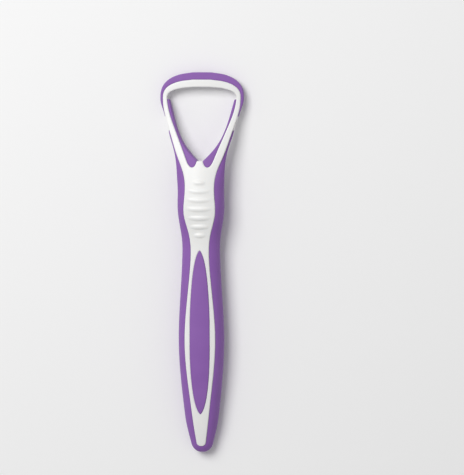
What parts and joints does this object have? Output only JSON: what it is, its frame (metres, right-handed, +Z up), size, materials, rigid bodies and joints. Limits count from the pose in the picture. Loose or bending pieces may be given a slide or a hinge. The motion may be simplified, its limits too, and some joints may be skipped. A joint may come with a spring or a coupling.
{
  "type": "tongue scraper",
  "caption": "Two-shot tongue scraper: white hard core with a triangular head and a ribbed thumb panel, purple soft flanks, inlay, liners and bow lip",
  "frame": {"origin": "middle of the tool's box in plan, on the surface that it lies on", "axes": "+Y from the tail to the bow, +Z up, out of the thumb side, +X across to the right"},
  "size_m": [0.0314, 0.1431, 0.012],
  "materials": {
    "moulded_polypropylene": "moulded, satin gloss",
    "soft_elastomer": "moulded, matt, fine grain"
  },
  "bodies": {
    "root": {"hard_core": "moulded_polypropylene", "side_grip_band": "soft_elastomer", "handle_inlay": "soft_elastomer", "back_finger_pad": "soft_elastomer", "left_arm_liner": "soft_elastomer", "right_arm_liner": "soft_elastomer", "bow_soft_lip": "soft_elastomer", "bow_lamella": "soft_elastomer"}
  },
  "joints": []
}
